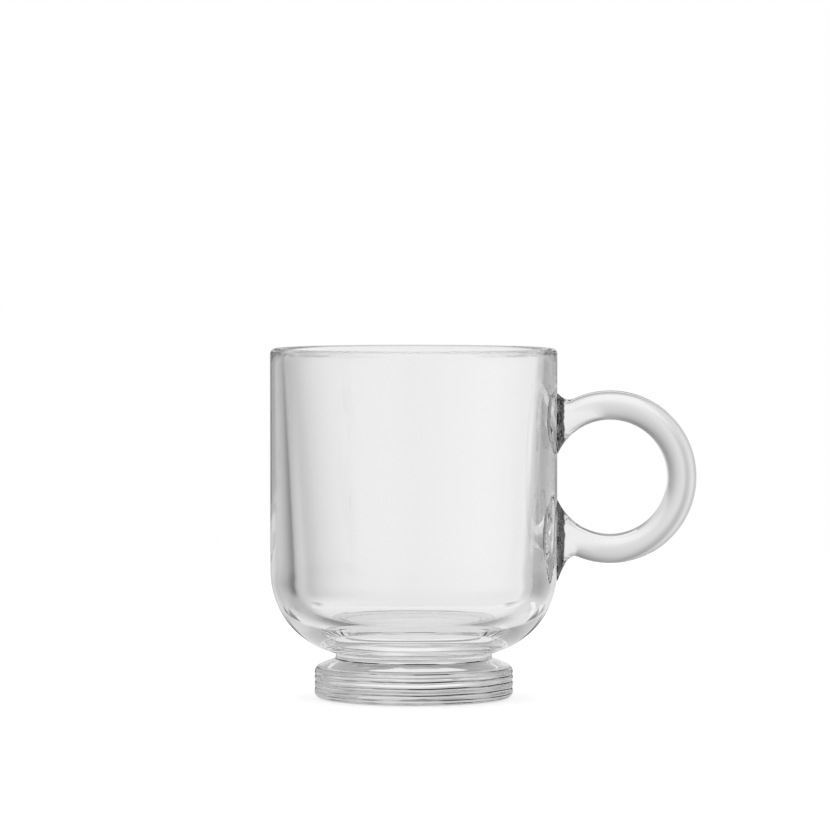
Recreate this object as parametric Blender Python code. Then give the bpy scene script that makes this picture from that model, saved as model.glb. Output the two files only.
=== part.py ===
# Cappuccino glass: a pressed glass bowl on a ribbed foot, with a ring handle of round glass rod.
# Metres, +Z up. The origin is on the bowl's axis, in the plane that the foot stands on.
# The handle is on +X. Every piece is melted to the next one, and WELD_GAP stands for the melted seam.

import math

import bmesh
import bpy

# Bowl
BOWL_RADIUS = 0.0390
BOWL_HEIGHT = 0.0828           # from its seam with the foot to the top of the rim
RIM_THICKNESS = 0.0033         # the rim is fully rounded
LOWER_WALL_THICKNESS = 0.0065  # the wall thickens downwards, as pressed glass does
BELLY_RADIUS = 0.0227          # outer curve from the straight wall in to the neck
FLOOR_THICKNESS = 0.0080       # from the seam with the foot up to the flat inner floor
FLOOR_CORNER_RADIUS = 0.0125   # inner curve from the wall to the floor

# Foot, from the table up
FOOT_RADIUS = 0.0270           # over the ribs
BASE_ROUND = 0.0020            # rounded lower edge
LOWEST_RIB_LAND = 0.00052      # upright part between the lower edge and the lowest groove's round
GROOVE_COUNT = 3
GROOVE_PITCH = 0.00175
RIB_EDGE_RADIUS = 0.00045      # the rounded edges of two ribs meet in each groove
RIB_EDGE_TURN = math.radians(72)
TOP_RIB_LAND = 0.00012
SHOULDER_ROUND = 0.0024
SHOULDER_RISE = 0.0039         # from the centre of the shoulder's round up to the neck
NECK_RADIUS = 0.0213
NECK_HEIGHT = 0.0014
STANDING_RING_WIDTH = 0.0029
RECESS_DEPTH = 0.0006          # shallow flat recess inside the standing ring
RECESS_STEP = 0.0008           # width of its sloping edge

# Handle
HANDLE_HEIGHT = 0.0478         # ring's centre above the bowl's seam with the foot
FINGER_HOLE_RADIUS = 0.0155
ROD_RADIUS = 0.0040
HOLE_BITE = 0.0012             # how far the round of the finger hole would run into the wall

# Flared pads that join the ring's ends to the bowl
UPPER_PAD_DEPTH = 0.0032       # from the wall to the end of the ring
UPPER_PAD_FLARE = 0.0038       # spread along the wall, away from the finger hole
LOWER_PAD_DEPTH = 0.0050
LOWER_PAD_FLARE = 0.0091
PAD_SIDE_FLARE = 0.0012        # spread to each side

WELD_GAP = 0.0003

# Facets
TURNED_SEGMENTS = 72
ROD_SIDES = 24
HANDLE_STEPS = 36
PAD_STEPS = 8
PAD_SEAT_RINGS = 3
SHARP_ANGLE = math.radians(30)

GLASS_COLOUR = (0.93, 0.94, 0.94, 1.0)
GLASS_ROUGHNESS = 0.02
GLASS_IOR = 1.5

rib_edge_reach = RIB_EDGE_RADIUS * math.sin(RIB_EDGE_TURN)
lowest_groove = BASE_ROUND + LOWEST_RIB_LAND + rib_edge_reach
top_groove = lowest_groove + (GROOVE_COUNT - 1) * GROOVE_PITCH
shoulder_height = top_groove + rib_edge_reach + TOP_RIB_LAND
foot_height = shoulder_height + SHOULDER_RISE + NECK_HEIGHT
ring_radius = FINGER_HOLE_RADIUS + ROD_RADIUS
wall_to_ring_centre = FINGER_HOLE_RADIUS - HOLE_BITE


def clear_scene():
    for old in list(bpy.data.objects):
        bpy.data.objects.remove(old, do_unlink=True)


def glass_material(name):
    material = bpy.data.materials.new(name)
    material.use_nodes = True
    shader = material.node_tree.nodes["Principled BSDF"]
    shader.inputs["Base Color"].default_value = GLASS_COLOUR
    shader.inputs["Metallic"].default_value = 0.0
    shader.inputs["Roughness"].default_value = GLASS_ROUGHNESS
    shader.inputs["IOR"].default_value = GLASS_IOR
    shader.inputs["Transmission Weight"].default_value = 1.0
    return material


def add_object(name, mesh_builder):
    bmesh.ops.recalc_face_normals(mesh_builder, faces=mesh_builder.faces)
    mesh = bpy.data.meshes.new(name)
    mesh_builder.to_mesh(mesh)
    mesh_builder.free()
    mesh.shade_smooth()
    mesh.set_sharp_from_angle(angle=SHARP_ANGLE)
    mesh.materials.append(glass_material(name + "_glass"))
    obj = bpy.data.objects.new(name, mesh)
    bpy.context.scene.collection.objects.link(obj)
    return obj


# Profile points are (radius, height) pairs.
def arc(centre, radius, start, end, steps):
    points = []
    for step in range(steps + 1):
        angle = start + (end - start) * step / steps
        points.append((centre[0] + radius * math.cos(angle), centre[1] + radius * math.sin(angle)))
    return points


def turned_object(name, profile):
    builder = bmesh.new()
    verts = [builder.verts.new((radius, 0.0, height)) for radius, height in profile]
    edges = [builder.edges.new(pair) for pair in zip(verts, verts[1:])]
    bmesh.ops.spin(builder, geom=verts + edges, cent=(0, 0, 0), axis=(0, 0, 1), dvec=(0, 0, 0),
                   angle=2 * math.pi, steps=TURNED_SEGMENTS, use_merge=True)
    bmesh.ops.remove_doubles(builder, verts=builder.verts, dist=1e-6)
    return add_object(name, builder)


# Heights here are above the bowl's seam with the foot.
def bowl_profile():
    rim_radius = RIM_THICKNESS / 2
    rim_centre = (BOWL_RADIUS - rim_radius, BOWL_HEIGHT - rim_radius)
    corner_axis = BOWL_RADIUS - LOWER_WALL_THICKNESS - FLOOR_CORNER_RADIUS
    corner_centre = (corner_axis, FLOOR_THICKNESS + FLOOR_CORNER_RADIUS)

    # The inner wall is the straight line that touches both the floor's corner and the rim's round.
    across = rim_centre[0] - corner_centre[0]
    up = rim_centre[1] - corner_centre[1]
    between = math.asin((FLOOR_CORNER_RADIUS + rim_radius) / math.hypot(across, up))
    taper = math.atan2(across, up) - between

    belly_centre_radius = BOWL_RADIUS - BELLY_RADIUS
    belly_turn = math.acos((NECK_RADIUS - belly_centre_radius) / BELLY_RADIUS)
    belly_centre = (belly_centre_radius, BELLY_RADIUS * math.sin(belly_turn))

    profile = [(0.0, FLOOR_THICKNESS)]
    profile += arc(corner_centre, FLOOR_CORNER_RADIUS, -math.pi / 2, -taper, 8)
    profile += arc(rim_centre, rim_radius, math.pi - taper, 0.0, 8)
    profile += arc(belly_centre, BELLY_RADIUS, 0.0, -belly_turn, 10)
    profile += [(0.0, 0.0)]
    return profile


# Heights here are above the table.
def foot_profile():
    neck_foot = (NECK_RADIUS, foot_height - NECK_HEIGHT)
    standing_radius = FOOT_RADIUS - BASE_ROUND
    recess_radius = standing_radius - STANDING_RING_WIDTH

    # The shoulder's slope is the straight line from the neck that touches the shoulder's round.
    shoulder_centre = (FOOT_RADIUS - SHOULDER_ROUND, shoulder_height)
    across = neck_foot[0] - shoulder_centre[0]
    up = neck_foot[1] - shoulder_centre[1]
    shoulder_turn = math.atan2(up, across) - math.acos(SHOULDER_ROUND / math.hypot(across, up))

    profile = [(0.0, foot_height - WELD_GAP), (NECK_RADIUS, foot_height - WELD_GAP), neck_foot]
    profile += arc(shoulder_centre, SHOULDER_ROUND, shoulder_turn, 0.0, 5)
    rib_edge_axis = FOOT_RADIUS - RIB_EDGE_RADIUS
    for groove in range(GROOVE_COUNT):
        height = top_groove - groove * GROOVE_PITCH
        profile += arc((rib_edge_axis, height + rib_edge_reach), RIB_EDGE_RADIUS, 0.0, -RIB_EDGE_TURN, 3)
        profile += arc((rib_edge_axis, height - rib_edge_reach), RIB_EDGE_RADIUS, RIB_EDGE_TURN, 0.0, 3)[1:]
    profile += arc((standing_radius, BASE_ROUND), BASE_ROUND, 0.0, -math.pi / 2, 5)
    profile += [(recess_radius, 0.0), (recess_radius - RECESS_STEP, RECESS_DEPTH), (0.0, RECESS_DEPTH)]
    return profile


# Closes a tube of point rings with a single point at each end.
def skinned_object(name, first_point, rings, last_point):
    builder = bmesh.new()
    first = builder.verts.new(first_point)
    last = builder.verts.new(last_point)
    loops = [[builder.verts.new(point) for point in ring] for ring in rings]
    count = len(loops[0])
    for side in range(count):
        following = (side + 1) % count
        builder.faces.new((first, loops[0][side], loops[0][following]))
        for loop, beyond in zip(loops, loops[1:]):
            builder.faces.new((loop[side], beyond[side], beyond[following], loop[following]))
        builder.faces.new((last, loops[-1][following], loops[-1][side]))
    return add_object(name, builder)


# The rod's sides, as (turn about the rod, radius about the ring's centre, y).
# A turn of 0 is the side away from the finger hole.
def rod_sides():
    for side in range(ROD_SIDES):
        turn = 2 * math.pi * side / ROD_SIDES
        yield turn, ring_radius + ROD_RADIUS * math.cos(turn), ROD_RADIUS * math.sin(turn)


# The ring is modelled about its own centre. It is open towards the bowl, and each end is cut upright
# where its pad begins.
def make_handle():
    upper_end = UPPER_PAD_DEPTH - wall_to_ring_centre
    lower_end = LOWER_PAD_DEPTH - wall_to_ring_centre
    rings = []
    for step in range(HANDLE_STEPS + 1):
        share = 2 * step / HANDLE_STEPS - 1
        end = upper_end if share > 0 else lower_end
        ring = []
        for turn, radius, y in rod_sides():
            angle = share * math.acos(end / radius)
            ring.append((radius * math.cos(angle), y, radius * math.sin(angle)))
        rings.append(ring)
    lower_middle = (lower_end, 0.0, -math.sqrt(ring_radius ** 2 - lower_end ** 2))
    upper_middle = (upper_end, 0.0, math.sqrt(ring_radius ** 2 - upper_end ** 2))
    return skinned_object("handle", lower_middle, rings, upper_middle)


# A pad runs on from the ring's end to the wall, spreading away from the finger hole and to both sides.
# It is modelled about the ring's centre, and upward is 1 for the upper pad and -1 for the lower one.
def make_pad(name, depth, flare, upward):
    ring_end = depth - wall_to_ring_centre
    face = ring_end - WELD_GAP
    bowl_axis = -wall_to_ring_centre - BOWL_RADIUS
    seat_radius = BOWL_RADIUS + WELD_GAP

    def wall_at(y):
        return bowl_axis + math.sqrt(seat_radius ** 2 - y ** 2)

    rings = []
    for step in range(PAD_STEPS + 1):
        share = step / PAD_STEPS
        spread = share * share
        ring = []
        for turn, radius, y in rod_sides():
            height = math.sqrt(radius ** 2 - ring_end ** 2)
            slope = -ring_end / height
            seat_y = y + PAD_SIDE_FLARE * math.sin(turn)
            x = face + (wall_at(seat_y) - face) * share
            outward = flare * spread * (1 + math.cos(turn)) / 2
            z = height + slope * (x - ring_end) + outward
            ring.append((x, y + (seat_y - y) * spread, upward * z))
        rings.append(ring)

    outline = rings[-1]
    seat_z = (outline[0][2] + outline[ROD_SIDES // 2][2]) / 2
    for step in range(PAD_SEAT_RINGS - 1, 0, -1):
        share = step / PAD_SEAT_RINGS
        rings.append([(wall_at(y * share), y * share, seat_z + (z - seat_z) * share) for x, y, z in outline])

    face_z = (rings[0][0][2] + rings[0][ROD_SIDES // 2][2]) / 2
    return skinned_object(name, (face, 0.0, face_z), rings, (wall_at(0.0), 0.0, seat_z))


def main():
    clear_scene()
    foot = turned_object("foot", foot_profile())
    bowl = turned_object("bowl", bowl_profile())
    bowl.parent = foot
    bowl.location = (0.0, 0.0, foot_height)

    ring_centre = bpy.data.objects.new("ring_centre", None)
    bpy.context.scene.collection.objects.link(ring_centre)
    ring_centre.parent = bowl
    ring_centre.location = (BOWL_RADIUS + wall_to_ring_centre, 0.0, HANDLE_HEIGHT)
    make_handle().parent = ring_centre
    make_pad("upper_handle_pad", UPPER_PAD_DEPTH, UPPER_PAD_FLARE, 1).parent = ring_centre
    make_pad("lower_handle_pad", LOWER_PAD_DEPTH, LOWER_PAD_FLARE, -1).parent = ring_centre


main()
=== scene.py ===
import math

import bpy
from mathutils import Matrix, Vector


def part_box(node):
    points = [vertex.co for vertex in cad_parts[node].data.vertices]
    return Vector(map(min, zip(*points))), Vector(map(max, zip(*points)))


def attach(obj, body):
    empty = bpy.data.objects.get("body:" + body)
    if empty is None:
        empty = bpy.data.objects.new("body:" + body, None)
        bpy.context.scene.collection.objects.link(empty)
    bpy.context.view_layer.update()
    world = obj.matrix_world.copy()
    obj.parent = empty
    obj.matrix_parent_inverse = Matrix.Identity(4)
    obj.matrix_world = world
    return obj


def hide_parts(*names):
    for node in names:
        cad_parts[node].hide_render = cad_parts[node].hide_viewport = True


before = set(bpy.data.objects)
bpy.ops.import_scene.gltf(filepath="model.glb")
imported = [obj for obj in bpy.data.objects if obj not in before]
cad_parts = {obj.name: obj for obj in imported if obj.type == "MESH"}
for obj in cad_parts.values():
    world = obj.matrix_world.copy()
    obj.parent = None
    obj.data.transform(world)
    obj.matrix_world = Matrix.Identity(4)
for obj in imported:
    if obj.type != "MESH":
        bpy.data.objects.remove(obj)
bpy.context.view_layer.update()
bowlLow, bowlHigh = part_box("bowl")
footLow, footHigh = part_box("foot")
handleLow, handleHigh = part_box("handle")
bowlRadius = bowlHigh.x
seamHeight = bowlLow.z         # bowl and foot are melted together here
tiny = 0.000001                # closer points are one point
print("frame loaded:", ", ".join(sorted(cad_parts)))


# camera at the photograph's place, pixel values in its square frame
cameraSet = {
    "imageSide": 830,
    "focalPixels": 4876,
    "levelRow": 228.9,         # row at the height of the lens
    "distance": 1.323,         # from the bowl's axis
    "height": 0.1274,
    "sideways": 0.00033,
    "sensor": 36.0,            # mm
}


def placeCamera():
    tilt = math.atan((cameraSet["imageSide"] / 2 - cameraSet["levelRow"]) / cameraSet["focalPixels"])
    bpy.ops.object.camera_add(
        location=(cameraSet["sideways"], -cameraSet["distance"], cameraSet["height"]),
        rotation=(math.pi / 2 - tilt, 0, 0))
    camera = bpy.context.object
    camera.data.sensor_width = cameraSet["sensor"]
    camera.data.lens = cameraSet["sensor"] * cameraSet["focalPixels"] / cameraSet["imageSide"]
    bpy.context.scene.camera = camera
    print("camera placed, lens", round(camera.data.lens, 1), "mm")


def deselectAll():
    if bpy.context.mode != "OBJECT":
        bpy.ops.object.mode_set(mode="OBJECT")
    bpy.ops.object.select_all(action="DESELECT")


def pickOnly(piece):
    deselectAll()
    piece.select_set(True)
    bpy.context.view_layer.objects.active = piece


def selectFaces(piece, wanted):
    pickOnly(piece)
    bpy.ops.object.mode_set(mode="EDIT")
    bpy.ops.mesh.select_mode(type="FACE")
    bpy.ops.mesh.select_all(action="DESELECT")
    bpy.ops.object.mode_set(mode="OBJECT")
    for face in piece.data.polygons:
        face.select = wanted(face)
    bpy.ops.object.mode_set(mode="EDIT")


# an outline is drawn in the plane y = 0 from one vertex, the pen keeps its radius and height
pen = {"radius": 0, "height": 0}


def startOutline(name, radius, height):
    deselectAll()
    bpy.ops.mesh.primitive_plane_add(size=0.001, location=(radius, 0, height))
    piece = bpy.context.object
    piece.name = name
    bpy.ops.object.transform_apply()
    bpy.ops.object.mode_set(mode="EDIT")
    bpy.ops.mesh.select_all(action="SELECT")
    bpy.ops.mesh.merge(type="CENTER")
    pen.update(radius=radius, height=height)
    return piece


def lineTo(radius, height, steps=1):
    stride = ((radius - pen["radius"]) / steps, 0, (height - pen["height"]) / steps)
    for _ in range(steps):
        bpy.ops.mesh.extrude_region_move(TRANSFORM_OT_translate={"value": stride})
    pen.update(radius=radius, height=height)


# turns the pen about a centre, a positive angle goes from the radius upwards
def arcAround(centreRadius, centreHeight, angle, steps):
    bpy.ops.mesh.spin(steps=steps, angle=angle, center=(centreRadius, 0, centreHeight), axis=(0, 1, 0))
    across = pen["radius"] - centreRadius
    up = pen["height"] - centreHeight
    pen["radius"] = centreRadius + across * math.cos(angle) - up * math.sin(angle)
    pen["height"] = centreHeight + across * math.sin(angle) + up * math.cos(angle)


def turnOutline(piece, segments):
    bpy.ops.mesh.select_all(action="SELECT")
    bpy.ops.mesh.spin(steps=segments, angle=2 * math.pi, center=(0, 0, 0), axis=(0, 0, 1))
    bpy.ops.mesh.select_all(action="SELECT")
    bpy.ops.mesh.remove_doubles(threshold=tiny)
    bpy.ops.mesh.normals_make_consistent(inside=False)
    bpy.ops.object.mode_set(mode="OBJECT")


bowlShape = {
    "rimThickness": 0.0033,
    "lowerWall": 0.0065,       # wall at the foot of its straight part
    "bellyRadius": 0.0227,
    "floorThickness": 0.0080,
    "cornerRadius": 0.0125,    # inside, wall to floor
    "neckRadius": 0.0213,
    "segments": 240,
}


def modelBowl():
    rimRadius = bowlShape["rimThickness"] / 2
    rimAt = (bowlRadius - rimRadius, bowlHigh.z - rimRadius)
    corner = bowlShape["cornerRadius"]
    floorHeight = seamHeight + bowlShape["floorThickness"]
    cornerAt = (bowlRadius - bowlShape["lowerWall"] - corner, floorHeight + corner)
    # the inner wall is the line that touches the corner's round and the rim's round
    across = rimAt[0] - cornerAt[0]
    up = rimAt[1] - cornerAt[1]
    taper = math.atan2(across, up) - math.asin((corner + rimRadius) / math.hypot(across, up))
    belly = bowlShape["bellyRadius"]
    bellyAxis = bowlRadius - belly
    bellyTurn = math.acos((bowlShape["neckRadius"] - bellyAxis) / belly)
    bellyHeight = seamHeight + belly * math.sin(bellyTurn)

    piece = startOutline("bowlGlass", 0, floorHeight)
    lineTo(cornerAt[0], floorHeight, 4)
    arcAround(*cornerAt, math.pi / 2 - taper, 40)
    lineTo(rimAt[0] - rimRadius * math.cos(taper), rimAt[1] + rimRadius * math.sin(taper), 24)
    arcAround(*rimAt, taper - math.pi, 24)
    lineTo(bowlRadius, bellyHeight, 32)
    arcAround(bellyAxis, bellyHeight, -bellyTurn, 40)
    lineTo(0, seamHeight, 4)
    turnOutline(piece, bowlShape["segments"])
    print("bowl turned,", len(piece.data.polygons), "faces")
    return piece


footShape = {
    "baseRound": 0.0020,
    "lowestGroove": 0.00295,   # height above the table
    "grooves": 3,
    "groovePitch": 0.00175,
    "ribEdge": 0.0008,         # radius of the rounded edges that meet in a groove
    "ribEdgeTurn": 50,         # degrees
    "shoulderRound": 0.0024,
    "shoulderHeight": 0.0070,  # centre of its round
    "neckHeight": 0.0014,
    "standingRing": 0.0029,    # width that touches the table
    "recessDepth": 0.0006,
    "recessStep": 0.0008,
    "ribBand": 0.0010,         # depth at the outside that the ribs take up
    "ribMargin": 0.0001,       # clear of the base's round
    "uneven": 0.0004,          # wander of the ribs up and down
    "unevenLength": 0.012,
    "segments": 240,
}


# pressed ribs don't run quite level
def unevenRibs(piece):
    low = footShape["baseRound"] + footShape["ribMargin"]
    high = footShape["shoulderHeight"]
    inner = footHigh.x - footShape["ribBand"]
    onRibs = [vertex.index for vertex in piece.data.vertices
              if low < vertex.co.z < high and math.hypot(vertex.co.x, vertex.co.y) > inner]
    ribs = piece.vertex_groups.new(name="ribs")
    ribs.add(onRibs, 1.0, "REPLACE")
    clouds = bpy.data.textures.new("unevenRibs", "CLOUDS")
    clouds.noise_scale = footShape["unevenLength"]
    clouds.noise_depth = 0
    pickOnly(piece)
    uneven = piece.modifiers.new("uneven", "DISPLACE")
    uneven.texture = clouds
    uneven.texture_coords = "LOCAL"
    uneven.direction = "Z"
    uneven.vertex_group = "ribs"
    uneven.strength = footShape["uneven"]
    bpy.ops.object.modifier_apply(modifier="uneven")


def modelFoot():
    crest = footHigh.x
    edge = footShape["ribEdge"]
    edgeTurn = math.radians(footShape["ribEdgeTurn"])
    edgeReach = edge * math.sin(edgeTurn)
    base = footShape["baseRound"]
    recessRadius = crest - base - footShape["standingRing"]
    neckRadius = bowlShape["neckRadius"]
    neckFoot = seamHeight - footShape["neckHeight"]
    # the shoulder's slope is the line from the neck that touches its round
    shoulder = footShape["shoulderRound"]
    shoulderAt = (crest - shoulder, footShape["shoulderHeight"])
    across = neckRadius - shoulderAt[0]
    up = neckFoot - shoulderAt[1]
    shoulderTurn = math.atan2(up, across) - math.acos(shoulder / math.hypot(across, up))
    slopeEnd = (shoulderAt[0] + shoulder * math.cos(shoulderTurn),
                shoulderAt[1] + shoulder * math.sin(shoulderTurn))

    piece = startOutline("footGlass", 0, seamHeight)
    lineTo(neckRadius, seamHeight, 4)
    lineTo(neckRadius, neckFoot, 6)
    lineTo(*slopeEnd, 8)
    arcAround(*shoulderAt, -shoulderTurn, 20)
    for groove in reversed(range(footShape["grooves"])):
        grooveHeight = footShape["lowestGroove"] + groove * footShape["groovePitch"]
        lineTo(crest, grooveHeight + edgeReach, 4)
        arcAround(crest - edge, grooveHeight + edgeReach, -edgeTurn, 8)
        # from the bottom of the groove, out again on to the next rib
        arcAround(crest - edge, grooveHeight - edgeReach, -edgeTurn, 8)
    lineTo(crest, base, 4)
    arcAround(crest - base, base, -math.pi / 2, 16)
    lineTo(recessRadius, 0, 2)
    lineTo(recessRadius - footShape["recessStep"], footShape["recessDepth"], 2)
    lineTo(0, footShape["recessDepth"], 4)
    turnOutline(piece, footShape["segments"])
    unevenRibs(piece)
    print("foot turned,", len(piece.data.polygons), "faces")
    return piece


handleShape = {
    "fingerHole": 0.0155,      # radius
    "rodSides": 64,
    "ringStep": 2,             # degrees
    "turnSteps": 8,
    "fillet": 0.0017,          # round between the rod's sides and the wall
    "filletTurn": 70,          # degrees
    "filletSteps": 10,
    "letIn": 0.0010,           # how far a pad is melted into the wall
    "underWall": 0.00004,      # its outline lies this far under the wall's surface
}
padShapes = {
    # way is up or down, ringEnd is the angle where the pad takes over from the ring
    "upper": {"way": 1, "ringEnd": 114, "reach": 0.0044, "flare": 0.0036},
    "lower": {"way": -1, "ringEnd": 112, "reach": 0.0054, "flare": 0.0092},
}
rodRadius = (handleHigh.y - handleLow.y) / 2
holeRadius = handleShape["fingerHole"]
outerRadius = holeRadius + 2 * rodRadius
ringX = handleHigh.x - outerRadius
ringZ = (handleHigh.z + handleLow.z) / 2
wallX = bowlRadius - ringX     # the wall, seen from the ring's centre


# one cross-section of a pad, from its x at the finger hole and on the outside
def padSection(pad, holeX, outerX, wide):
    holeZ = math.sqrt(holeRadius ** 2 - holeX ** 2)
    # the outside runs on from the ring along its tangent and spreads over the wall
    turnX = max(outerX, wallX + pad["reach"])
    turnZ = math.sqrt(outerRadius ** 2 - turnX ** 2)
    spread = (turnX - outerX) / pad["reach"]
    outerZ = turnZ - turnX / turnZ * (outerX - turnX) + pad["flare"] * spread ** 2
    return {
        "centre": (ringX + (holeX + outerX) / 2, 0, ringZ + pad["way"] * (holeZ + outerZ) / 2),
        "lean": pad["way"] * math.atan2(outerX - holeX, outerZ - holeZ),
        "tall": math.hypot(outerX - holeX, outerZ - holeZ),
        "wide": wide,
    }


# the rod turns upright in front of the wall, then a fillet takes it on to the wall
def padSections(pad):
    fillet = handleShape["fillet"]
    ringEnd = math.radians(pad["ringEnd"])
    uprightX = wallX + fillet
    for step in range(handleShape["turnSteps"] + 1):
        share = step / handleShape["turnSteps"]
        holeX = holeRadius * math.cos(ringEnd) * (1 - share) + uprightX * share
        outerX = outerRadius * math.cos(ringEnd) * (1 - share) + uprightX * share
        yield padSection(pad, holeX, outerX, rodRadius)
    for step in range(1, handleShape["filletSteps"] + 1):
        turn = math.radians(handleShape["filletTurn"]) * step / handleShape["filletSteps"]
        x = wallX + fillet * (1 - math.sin(turn))
        yield padSection(pad, x, x, rodRadius + fillet * (1 - math.cos(turn)))


# turns what is selected about the y axis, from upright towards +X
def leanBy(angle, centre):
    bpy.ops.transform.rotate(value=-angle, orient_axis="Y", center_override=centre)


def drawPad(side):
    last, *sections = padSections(padShapes[side])
    for this in sections:
        move = [new - old for new, old in zip(this["centre"], last["centre"])]
        grow = (1, this["wide"] / last["wide"], this["tall"] / last["tall"])
        bpy.ops.mesh.extrude_region_move(TRANSFORM_OT_translate={"value": move})
        leanBy(-last["lean"], this["centre"])
        bpy.ops.transform.resize(value=grow, center_override=this["centre"])
        leanBy(this["lean"], this["centre"])
        last = this
    bpy.ops.object.vertex_group_assign_new()       # the loop that is laid on the wall
    bpy.context.object.vertex_groups.active.name = side + "Wall"
    flat = (bowlRadius - handleShape["letIn"], 0, last["centre"][2])
    bpy.ops.mesh.extrude_region_move(TRANSFORM_OT_translate={"value": (-handleShape["letIn"], 0, 0)})
    bpy.ops.transform.resize(value=(0, 1, 1), center_override=flat)
    bpy.ops.object.vertex_group_remove_from(use_all_groups=True)
    bpy.ops.mesh.edge_face_add()


def selectCircle(piece, height):
    bpy.ops.mesh.select_mode(type="VERT")
    bpy.ops.mesh.select_all(action="DESELECT")
    bpy.ops.object.mode_set(mode="OBJECT")
    for vertex in piece.data.vertices:
        vertex.select = abs(vertex.co.z - height) < tiny
    bpy.ops.object.mode_set(mode="EDIT")


def modelHandle():
    deselectAll()
    rodAt = (ringX + holeRadius + rodRadius, 0, ringZ)
    bpy.ops.mesh.primitive_circle_add(vertices=handleShape["rodSides"], radius=rodRadius, location=rodAt)
    ring = bpy.context.object
    ring.name = "handleRing"
    bpy.ops.object.transform_apply()
    bpy.ops.object.mode_set(mode="EDIT")
    for side, pad in padShapes.items():
        selectCircle(ring, ringZ)
        bpy.ops.mesh.spin(
            steps=pad["ringEnd"] // handleShape["ringStep"], angle=pad["way"] * math.radians(pad["ringEnd"]),
            center=(ringX, 0, ringZ), axis=(0, 1, 0))
        drawPad(side)
    bpy.ops.mesh.select_all(action="SELECT")
    bpy.ops.mesh.remove_doubles(threshold=tiny)
    bpy.ops.mesh.normals_make_consistent(inside=False)
    print("handle drawn,", len(ring.data.polygons), "faces")
    return ring


# a wave depth is how far the surface rises and falls, in metres
glassLooks = {
    "pressedGlass": {"waves": 60, "waveDepth": 0.000004, "streakTint": (0.985, 0.990, 0.988, 1)},
    "footGlass": {"waves": 100, "waveDepth": 0.00012, "streakTint": (0.985, 0.990, 0.988, 1)},
    "rodGlass": {"waves": 110, "waveDepth": 0.000003, "streakTint": (0.980, 0.986, 0.984, 1)},
    "jointGlass": {"waves": 110, "waveDepth": 0.000003, "streakTint": (0.980, 0.986, 0.984, 1)},
}
glassBody = {
    "ior": 1.5,
    "clearTint": (1.0, 1.0, 1.0, 1),
    "streaksPerWave": 3,
    "haze": 0.008,             # roughness from handling, at most
    "smoothBelow": 35,         # degrees between faces that are shaded as one
}
# painted light on the near lip, by how much of it is made clear
nearLipLightLooks = {
    "clear": 0.65,
    "heights": [(0.0013, 1.0), (0.0019, 0.0)],         # by distance under the rim
    "depths": [(-0.012, 1.0), (0.004, 0.0)],           # from front to back
}
jointShadeLooks = {
    # painted shade: light let in, by distance from the bowl's wall
    "shade": [(0.0, 0.10), (0.0006, 0.03), (0.0013, 0.01), (0.0017, 0.02), (0.0020, 1.0)],
    "flow": 420,               # scale of the noise that moves the dark edge
    "flowReach": 0.0013,
}
grooveShadeLooks = {
    # painted shade: dark by depth under the ribs, broken up by the streaks
    "depths": [(0.00010, 0.0), (0.00018, 1.0), (0.0006, 1.0), (0.0010, 0.0)],
    "streaks": [(0.38, 0.1), (0.56, 1.0)],
    "streakScale": 110,
    # painted shade: heights of the dark lines round the base, the shoulder and the neck, and how they fade
    # away from there
    "shadeLineHeights": [0.0008, 0.0016, 0.0085, seamHeight - footShape["neckHeight"]],
    "shadeLineFade": [(0.0, 1.0), (0.0001, 1.0), (0.00018, 0.0)],
}


def objectAxes(tree):
    place = tree.nodes.new("ShaderNodeTexCoord")
    axes = tree.nodes.new("ShaderNodeSeparateXYZ")
    tree.links.new(place.outputs["Object"], axes.inputs["Vector"])
    return axes.outputs


def objectNoise(tree, scale, detail):
    place = tree.nodes.new("ShaderNodeTexCoord")
    noise = tree.nodes.new("ShaderNodeTexNoise")
    noise.inputs["Scale"].default_value = scale
    noise.inputs["Detail"].default_value = detail
    tree.links.new(place.outputs["Object"], noise.inputs["Vector"])
    return noise.outputs["Fac"]


def shadeBy(tree, tint, share):
    shade = tree.nodes.new("ShaderNodeVectorMath")
    shade.operation = "MULTIPLY"
    tree.links.new(tint.outputs["Color"], shade.inputs[0])
    tree.links.new(share, shade.inputs[1])
    tree.links.new(shade.outputs["Vector"], tree.nodes["Principled BSDF"].inputs["Base Color"])


# painted shade: dark where light enters a joint close to the wall, clear where it leaves
def jointPaintedShade(tree):
    fromWall = mathNode(tree, "SUBTRACT", objectAxes(tree)["X"], bowlRadius)
    flow = mathNode(tree, "SUBTRACT", objectNoise(tree, jointShadeLooks["flow"], 1), 0.5)
    drift = mathNode(tree, "MULTIPLY", flow, jointShadeLooks["flowReach"])
    fromWall = mathNode(tree, "MAXIMUM", mathNode(tree, "ADD", fromWall, drift), 0)
    entering = rampOver(tree, fromWall, jointShadeLooks["shade"])
    surface = tree.nodes.new("ShaderNodeNewGeometry")
    return mathNode(tree, "MAXIMUM", entering, surface.outputs["Backfacing"])


# painted light: the near half of the lip is made partly clear, so its dark rim line shows lighter than at the
# back
def nearLipPaintedLight(tree):
    axes = objectAxes(tree)
    fromTop = mathNode(tree, "SUBTRACT", bowlHigh.z, axes["Z"])
    lip = mathNode(tree, "MULTIPLY", rampOver(tree, fromTop, nearLipLightLooks["heights"]),
                   rampOver(tree, axes["Y"], nearLipLightLooks["depths"]))
    return mathNode(tree, "SUBTRACT", 1, mathNode(tree, "MULTIPLY", lip, nearLipLightLooks["clear"]))
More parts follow.
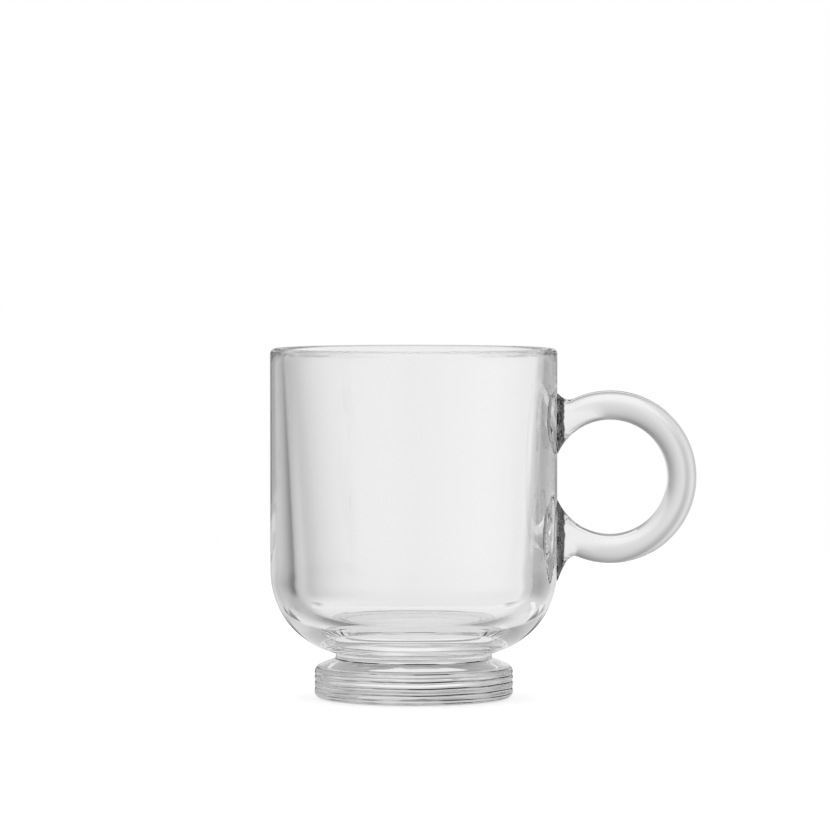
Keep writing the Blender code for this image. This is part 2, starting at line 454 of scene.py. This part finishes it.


# painted shade: broken dark lines in the grooves and round the base, the shoulder and the neck
def groovePaintedShade(tree):
    axes = objectAxes(tree)
    squares = mathNode(tree, "ADD", mathNode(tree, "POWER", axes["X"], 2),
                       mathNode(tree, "POWER", axes["Y"], 2))
    depth = mathNode(tree, "SUBTRACT", footHigh.x, mathNode(tree, "SQRT", squares))
    ribbed = mathNode(tree, "MULTIPLY", mathNode(tree, "GREATER_THAN", axes["Z"], footShape["baseRound"]),
                      mathNode(tree, "LESS_THAN", axes["Z"], footShape["shoulderHeight"]))
    lines = mathNode(tree, "MULTIPLY", rampOver(tree, depth, grooveShadeLooks["depths"]), ribbed)
    for height in grooveShadeLooks["shadeLineHeights"]:
        fromLine = mathNode(tree, "ABSOLUTE", mathNode(tree, "SUBTRACT", axes["Z"], height))
        lines = mathNode(tree, "MAXIMUM", lines, rampOver(tree, fromLine, grooveShadeLooks["shadeLineFade"]))
    dashes = objectNoise(tree, grooveShadeLooks["streakScale"], 2)
    dark = mathNode(tree, "MULTIPLY", lines, rampOver(tree, dashes, grooveShadeLooks["streaks"]))
    return mathNode(tree, "SUBTRACT", 1, dark)


def makeGlass(name):
    look = glassLooks[name]
    material = bpy.data.materials.new(name)
    material.use_nodes = True
    tree = material.node_tree
    shader = tree.nodes["Principled BSDF"]
    shader.inputs["Transmission Weight"].default_value = 1
    shader.inputs["IOR"].default_value = glassBody["ior"]

    # slow waves left by the mould and the flame
    bump = tree.nodes.new("ShaderNodeBump")
    bump.inputs["Distance"].default_value = look["waveDepth"]
    tree.links.new(objectNoise(tree, look["waves"], 1), bump.inputs["Height"])
    tree.links.new(bump.outputs["Normal"], shader.inputs["Normal"])

    # fine streaks in the melt change its tint a little
    streaks = objectNoise(tree, look["waves"] * glassBody["streaksPerWave"], 2)
    tint = tree.nodes.new("ShaderNodeValToRGB")
    tint.color_ramp.elements[0].color = look["streakTint"]
    tint.color_ramp.elements[1].color = glassBody["clearTint"]
    tree.links.new(streaks, tint.inputs["Fac"])
    tree.links.new(tint.outputs["Color"], shader.inputs["Base Color"])
    # painted light on the near lip
    if name == "pressedGlass":
        tree.links.new(nearLipPaintedLight(tree), shader.inputs["Alpha"])
    # painted shade in the joints, close to the wall
    if name == "jointGlass":
        shadeBy(tree, tint, jointPaintedShade(tree))
    # painted shade in the foot's grooves and round its edges
    if name == "footGlass":
        shadeBy(tree, tint, groovePaintedShade(tree))

    # fire-polished, with the faintest haze from handling
    tree.links.new(mathNode(tree, "MULTIPLY", streaks, glassBody["haze"]), shader.inputs["Roughness"])
    return material


# faces where two pieces are melted together let light straight through
def makeMeltedSeam():
    material = bpy.data.materials.new("meltedSeam")
    material.use_nodes = True
    shader = material.node_tree.nodes["Principled BSDF"]
    shader.inputs["Alpha"].default_value = 0
    return material


def finishPiece(piece, glass, seam, isSeam):
    piece.data.materials.clear()
    piece.data.materials.append(glass)
    piece.data.materials.append(seam)
    for face in piece.data.polygons:
        face.material_index = 1 if isSeam(piece.data, face) else 0
    pickOnly(piece)
    bpy.ops.object.shade_smooth_by_angle(angle=math.radians(glassBody["smoothBelow"]))


def atSeamHeight(mesh, face):
    return abs(face.center.z - seamHeight) < tiny


# seam faces of the handle are the round ends, and all that is let into the wall
def atHandleSeam(mesh, face):
    letInTo = bowlRadius - handleShape["letIn"] + tiny
    return len(face.vertices) > 4 or any(mesh.vertices[index].co.x < letInTo for index in face.vertices)


def splitPad(ring, side):
    pad = padShapes[side]

    def beyondRing(face):
        angle = math.atan2(pad["way"] * (face.center.z - ringZ), face.center.x - ringX)
        return angle > math.radians(pad["ringEnd"])

    selectFaces(ring, beyondRing)
    bpy.ops.mesh.separate(type="SELECTED")
    bpy.ops.object.mode_set(mode="OBJECT")
    piece = [picked for picked in bpy.context.selected_objects if picked is not ring][0]
    piece.name = side + "Pad"
    return piece


def closeEnds(piece):
    pickOnly(piece)
    bpy.ops.object.mode_set(mode="EDIT")
    bpy.ops.mesh.select_mode(type="EDGE")
    bpy.ops.mesh.select_all(action="DESELECT")
    bpy.ops.mesh.select_non_manifold()
    bpy.ops.mesh.fill_holes(sides=0)
    bpy.ops.mesh.select_all(action="SELECT")
    bpy.ops.mesh.normals_make_consistent(inside=False)
    bpy.ops.object.mode_set(mode="OBJECT")


# lays the pad's outline on the wall
def seatPad(piece, bowl, side):
    pickOnly(piece)
    lay = piece.modifiers.new("lay", "SHRINKWRAP")
    lay.target = bowl
    lay.wrap_method = "PROJECT"
    lay.use_project_x = True
    lay.use_positive_direction = False
    lay.use_negative_direction = True
    lay.vertex_group = side + "Wall"
    lay.offset = -handleShape["underWall"]
    bpy.ops.object.modifier_apply(modifier="lay")


# cuts the room that a pad takes up out of the wall
def cutSeat(bowl, piece):
    pickOnly(bowl)
    seat = bowl.modifiers.new("seat", "BOOLEAN")
    seat.operation = "DIFFERENCE"
    seat.object = piece
    seat.material_mode = "TRANSFER"
    bpy.ops.object.modifier_apply(modifier="seat")


studio = {
    "floorRadius": 0.6,
    "floorSides": 128,
    "paperColour": 0.62,
    "paperLift": 0.60,         # brings the paper up to white
    # brightness round the glass by degrees above its own level, the table side is bright and the ceiling dark
    "heights": [(-80, 0.40), (-60, 0.40), (-46, 0.52), (-40, 0.74), (-34, 0.93), (-28, 0.96), (-16, 0.90),
                (-8, 0.82), (0, 0.74), (10, 0.69), (20, 0.63), (30, 0.51), (40, 0.43), (55, 0.32),
                (80, 0.22)],
    # share left by the dark walls, by degrees round from straight behind, left is negative
    "walls": [(-180, 0.80), (-110, 1.3), (-75, 1.0), (-66, 0.75), (-60, 0.54), (-56, 0.31), (-53, 0.21),
              (-48, 0.21), (-43, 0.36), (-38, 0.54), (-30, 0.68), (-22, 0.71), (-16, 0.63), (-12, 0.67),
              (-8, 0.76), (-3, 0.92), (0, 0.96), (6, 0.91), (13, 0.82), (20, 0.70), (30, 0.53), (40, 0.46),
              (53, 0.50), (58, 0.80), (64, 1.0), (75, 1.2), (110, 1.3), (180, 0.80)],
    # the same on the table, where the light lies in a narrow pool
    "tableSides": [(-180, 0.55), (-50, 0.53), (-40, 0.49), (-32, 0.51), (-18, 0.78), (-8, 1.0), (8, 1.0),
                   (18, 0.90), (32, 0.78), (50, 0.74), (180, 0.60)],
    # how much of the walls shows at each height, the rest is table
    "wallHeights": [(-17, 0.0), (-9, 1.0)],
}


# 1 for what is seen in the glass or through it, 0 for what the camera sees
def seenByGlass(tree):
    rays = tree.nodes.new("ShaderNodeLightPath")
    return mathNode(tree, "MAXIMUM", rays.outputs["Is Glossy Ray"], rays.outputs["Is Transmission Ray"])


def makeFloor():
    deselectAll()
    bpy.ops.mesh.primitive_circle_add(
        vertices=studio["floorSides"], radius=studio["floorRadius"], fill_type="NGON")
    floor = bpy.context.object
    floor.name = "paleFloor"
    material = bpy.data.materials.new("palePaper")
    material.use_nodes = True
    tree = material.node_tree
    nodes = tree.nodes
    links = tree.links
    paper = nodes["Principled BSDF"]
    paper.inputs["Base Color"].default_value = (studio["paperColour"],) * 3 + (1,)
    paper.inputs["Roughness"].default_value = 1
    paper.inputs["Specular IOR Level"].default_value = 0

    # the camera sees lit paper as white, with the shadow kept, and the glass sees the studio through it
    lift = nodes.new("ShaderNodeEmission")
    lift.inputs["Strength"].default_value = studio["paperLift"]
    lifted = nodes.new("ShaderNodeAddShader")
    links.new(paper.outputs["BSDF"], lifted.inputs[0])
    links.new(lift.outputs["Emission"], lifted.inputs[1])
    clear = nodes.new("ShaderNodeBsdfTransparent")
    choose = nodes.new("ShaderNodeMixShader")
    links.new(seenByGlass(tree), choose.inputs["Fac"])
    links.new(lifted.outputs["Shader"], choose.inputs[1])
    links.new(clear.outputs["BSDF"], choose.inputs[2])
    links.new(choose.outputs["Shader"], nodes["Material Output"].inputs["Surface"])
    floor.data.materials.append(material)


# a ramp of grey levels over a value, its stops are (value, level)
def rampOver(tree, value, stops):
    low, high = stops[0][0], stops[-1][0]
    share = tree.nodes.new("ShaderNodeMapRange")
    share.inputs["From Min"].default_value = low
    share.inputs["From Max"].default_value = high
    tree.links.new(value, share.inputs["Value"])
    ramp = tree.nodes.new("ShaderNodeValToRGB")
    elements = ramp.color_ramp.elements
    elements.remove(elements[1])
    for index, (at, level) in enumerate(stops):
        place = (at - low) / (high - low)
        stop = elements.new(place) if index else elements[0]
        stop.position = place
        stop.color = (level, level, level, 1)
    tree.links.new(share.outputs["Result"], ramp.inputs["Fac"])
    return ramp.outputs["Color"]


def mathNode(tree, operation, *values):
    node = tree.nodes.new("ShaderNodeMath")
    node.operation = operation
    for socket, value in zip(node.inputs, values):
        if isinstance(value, (int, float)):
            socket.default_value = value
        else:
            tree.links.new(value, socket)
    return node.outputs["Value"]


def lightStudio():
    world = bpy.data.worlds.new("studio")
    bpy.context.scene.world = world
    world.use_nodes = True
    tree = world.node_tree
    direction = tree.nodes.new("ShaderNodeTexCoord")
    axes = tree.nodes.new("ShaderNodeSeparateXYZ")
    tree.links.new(direction.outputs["Generated"], axes.inputs["Vector"])
    height = mathNode(tree, "DEGREES", mathNode(tree, "ARCSINE", axes.outputs["Z"]))
    aside = mathNode(tree, "DEGREES", mathNode(tree, "ARCTAN2", axes.outputs["X"], axes.outputs["Y"]))

    room = rampOver(tree, height, studio["heights"])
    walls = rampOver(tree, aside, studio["walls"])
    table = rampOver(tree, aside, studio["tableSides"])
    wallPart = rampOver(tree, height, studio["wallHeights"])
    onWalls = mathNode(tree, "MULTIPLY", walls, wallPart)
    onTable = mathNode(tree, "MULTIPLY", table, mathNode(tree, "SUBTRACT", 1, wallPart))
    seen = mathNode(tree, "MULTIPLY", room, mathNode(tree, "ADD", onWalls, onTable))

    # white for the camera and for the paper, the studio for the glass
    throughGlass = seenByGlass(tree)
    light = mathNode(tree, "ADD", mathNode(tree, "MULTIPLY", throughGlass, seen),
                     mathNode(tree, "SUBTRACT", 1, throughGlass))
    tree.links.new(light, tree.nodes["Background"].inputs["Color"])
    print("studio lit")


# the cards and papers from here on are seen only by the glass
def hideFromCamera(piece):
    piece.visible_camera = False
    piece.visible_diffuse = False
    piece.visible_shadow = False


def glowing(name, level):
    material = bpy.data.materials.new(name)
    material.use_nodes = True
    tree = material.node_tree
    lit = tree.nodes.new("ShaderNodeEmission")
    lit.inputs["Strength"].default_value = level
    tree.links.new(lit.outputs["Emission"], tree.nodes["Material Output"].inputs["Surface"])
    return material, lit


# a glowing card is clear where its cover is 0
def showBy(tree, lit, cover):
    clear = tree.nodes.new("ShaderNodeBsdfTransparent")
    mix = tree.nodes.new("ShaderNodeMixShader")
    tree.links.new(cover, mix.inputs["Fac"])
    tree.links.new(clear.outputs["BSDF"], mix.inputs[1])
    tree.links.new(lit.outputs["Emission"], mix.inputs[2])
    tree.links.new(mix.outputs["Shader"], tree.nodes["Material Output"].inputs["Surface"])


# 0 where a card is met head on, 1 where it is met edge on
def slantNode(tree):
    facing = tree.nodes.new("ShaderNodeLayerWeight")
    facing.inputs["Blend"].default_value = 0.5
    return facing.outputs["Facing"]


# a white card close behind the bowl, stops are in metres or, in a grid, by slant
whiteCard = {
    "behind": 0.008,
    "low": 0.001,
    "high": 0.115,
    "halfWidth": 0.058,
    "level": 0.885,
    "cover": [(-0.042, 0.0), (-0.008, 1.0), (0.010, 1.0), (0.030, 0.90), (0.046, 0.90), (0.053, 0.0)],
    # its low part shows from straight in front and hardly from aside
    "grid": [(0.0, 1.0), (0.10, 1.0), (0.20, 0.35)],
    "gridEnds": [(0.035, 0.0), (0.048, 0.5)],
    "lowEdge": [(0.0085, 0.0), (0.0095, 1.0)],
    # black flags at its low corners, by distance aside, by height and by slant
    "flagSides": [(0.033, 0.0), (0.038, 1.0)],
    "flagHeights": [(0.0145, 1.0), (0.0185, 0.0)],
    "flagGrid": [(0.030, 1.0), (0.042, 0.0)],
    "flagFoot": [(0.0088, 1.0), (0.0100, 0.0)],    # below this it shows from aside too
    "flagFootGrid": [(0.06, 1.0), (0.12, 0.0)],
    "flagDepth": 0.95,
}


def makeWhiteCard():
    deselectAll()
    bpy.ops.mesh.primitive_grid_add(x_subdivisions=2, y_subdivisions=2, size=1, rotation=(math.pi / 2, 0, 0))
    piece = bpy.context.object
    piece.name = "whiteCard"
    piece.scale = (2 * whiteCard["halfWidth"], whiteCard["high"] - whiteCard["low"], 1)
    piece.location = (0, bowlRadius + whiteCard["behind"], (whiteCard["high"] + whiteCard["low"]) / 2)
    bpy.ops.object.transform_apply()
    material, lit = glowing("whiteCard", whiteCard["level"])
    tree = material.node_tree
    axes = objectAxes(tree)
    slant = slantNode(tree)

    grid = mathNode(tree, "MAXIMUM", rampOver(tree, slant, whiteCard["grid"]),
                    rampOver(tree, axes["Z"], whiteCard["gridEnds"]))
    cover = mathNode(tree, "MULTIPLY", rampOver(tree, axes["X"], whiteCard["cover"]), grid)
    cover = mathNode(tree, "MULTIPLY", cover, rampOver(tree, axes["Z"], whiteCard["lowEdge"]))

    aside = mathNode(tree, "ABSOLUTE", axes["X"])
    flag = mathNode(tree, "MULTIPLY", rampOver(tree, aside, whiteCard["flagSides"]),
                    rampOver(tree, axes["Z"], whiteCard["flagHeights"]))
    lowFlag = mathNode(tree, "MULTIPLY", rampOver(tree, axes["Z"], whiteCard["flagFoot"]),
                       rampOver(tree, slant, whiteCard["flagFootGrid"]))
    flagGrid = mathNode(tree, "MAXIMUM", lowFlag, rampOver(tree, slant, whiteCard["flagGrid"]))
    flag = mathNode(tree, "MULTIPLY", flag, flagGrid)

    showBy(tree, lit, mathNode(tree, "MAXIMUM", cover, flag))
    dimmed = mathNode(tree, "SUBTRACT", 1, mathNode(tree, "MULTIPLY", flag, whiteCard["flagDepth"]))
    tree.links.new(mathNode(tree, "MULTIPLY", dimmed, whiteCard["level"]), lit.inputs["Strength"])
    piece.data.materials.append(material)
    hideFromCamera(piece)


tablePaper = {
    "below": 0.0001,           # under the table's plane
    # painted shadow: the round paper under the foot glows dimmer, standing for the table in the foot's shadow
    "footShadowLevel": 0.78,         # a round paper under the foot
    "footSides": 96,
    "stripAcross": (-0.047, 0.085),
    "stripBehind": (0.040, 0.058),
    "stripLevel": 0.95,
}


def makeTablePaper():
    # painted shadow: a grey disc under the foot, for the table in the foot's shadow
    deselectAll()
    underAt = (0, 0, -tablePaper["below"])
    bpy.ops.mesh.primitive_circle_add(
        vertices=tablePaper["footSides"], radius=footHigh.x, fill_type="NGON", location=underAt)
    under = bpy.context.object
    under.name = "paintedShadowUnderFoot"
    under.data.materials.append(glowing("paintedShadowUnderFoot", tablePaper["footShadowLevel"])[0])
    hideFromCamera(under)

    left, right = tablePaper["stripAcross"]
    near, far = tablePaper["stripBehind"]
    deselectAll()
    stripAt = ((left + right) / 2, (near + far) / 2, -tablePaper["below"])
    bpy.ops.mesh.primitive_plane_add(size=1, location=stripAt)
    strip = bpy.context.object
    strip.name = "paperStrip"
    strip.scale = (right - left, far - near, 1)
    strip.data.materials.append(glowing("paperStrip", tablePaper["stripLevel"])[0])
    hideFromCamera(strip)


# a grey card beside the bowl, seen from the handle's side only
sideCard = {
    "x": 0.046,
    "cover": [(0.022, 0.0), (0.040, 1.0), (0.12, 1.0), (0.30, 0.0)],       # along y
    "grid": [(0.56, 1.0), (0.82, 0.0)],            # by slant
    "levels": [(-0.10, 0.35), (-0.04, 0.40), (-0.012, 0.60), (0.002, 0.84), (0.02, 0.82), (0.05, 0.71),
               (0.075, 0.64), (0.105, 0.52), (0.20, 0.34)],                # by height
}


def makeSideCard():
    near, far = sideCard["cover"][0][0], sideCard["cover"][-1][0]
    low, high = sideCard["levels"][0][0], sideCard["levels"][-1][0]
    deselectAll()
    bpy.ops.mesh.primitive_plane_add(size=1, rotation=(0, math.pi / 2, 0))
    piece = bpy.context.object
    piece.name = "sideCard"
    piece.scale = (high - low, far - near, 1)
    piece.location = (sideCard["x"], (near + far) / 2, (low + high) / 2)
    bpy.ops.object.transform_apply()
    material, lit = glowing("sideCard", 1)
    tree = material.node_tree
    axes = objectAxes(tree)
    surface = tree.nodes.new("ShaderNodeNewGeometry")
    front = mathNode(tree, "SUBTRACT", 1, surface.outputs["Backfacing"])
    cover = mathNode(tree, "MULTIPLY", front, rampOver(tree, slantNode(tree), sideCard["grid"]))
    cover = mathNode(tree, "MULTIPLY", cover, rampOver(tree, axes["Y"], sideCard["cover"]))
    showBy(tree, lit, cover)
    tree.links.new(rampOver(tree, axes["Z"], sideCard["levels"]), lit.inputs["Strength"])
    piece.data.materials.append(material)
    hideFromCamera(piece)


placeCamera()
bowl = modelBowl()
foot = modelFoot()
ring = modelHandle()
upperPad = splitPad(ring, "upper")
lowerPad = splitPad(ring, "lower")
for piece in (ring, upperPad, lowerPad):
    closeEnds(piece)
seatPad(upperPad, bowl, "upper")
seatPad(lowerPad, bowl, "lower")

pressedGlass = makeGlass("pressedGlass")
rodGlass = makeGlass("rodGlass")
meltedSeam = makeMeltedSeam()
footGlass = makeGlass("footGlass")
jointGlass = makeGlass("jointGlass")
finishPiece(ring, rodGlass, meltedSeam, atHandleSeam)
for piece in (upperPad, lowerPad):
    finishPiece(piece, jointGlass, meltedSeam, atHandleSeam)
finishPiece(bowl, pressedGlass, meltedSeam, atSeamHeight)
finishPiece(foot, footGlass, meltedSeam, atSeamHeight)
cutSeat(bowl, upperPad)
cutSeat(bowl, lowerPad)
print("pieces finished")

makeFloor()
makeWhiteCard()
makeTablePaper()
makeSideCard()
lightStudio()
bpy.context.scene.view_settings.view_transform = "Standard"
# glass behind glass takes many bounces
cycles = bpy.context.scene.cycles
cycles.max_bounces = 40
cycles.transmission_bounces = 40
cycles.glossy_bounces = 30
cycles.transparent_max_bounces = 40

standsFor = {
    bowl: "bowl",
    foot: "foot",
    ring: "handle",
    upperPad: "upper_handle_pad",
    lowerPad: "lower_handle_pad",
}
for piece, node in standsFor.items():
    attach(piece, "root")
    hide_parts(node)
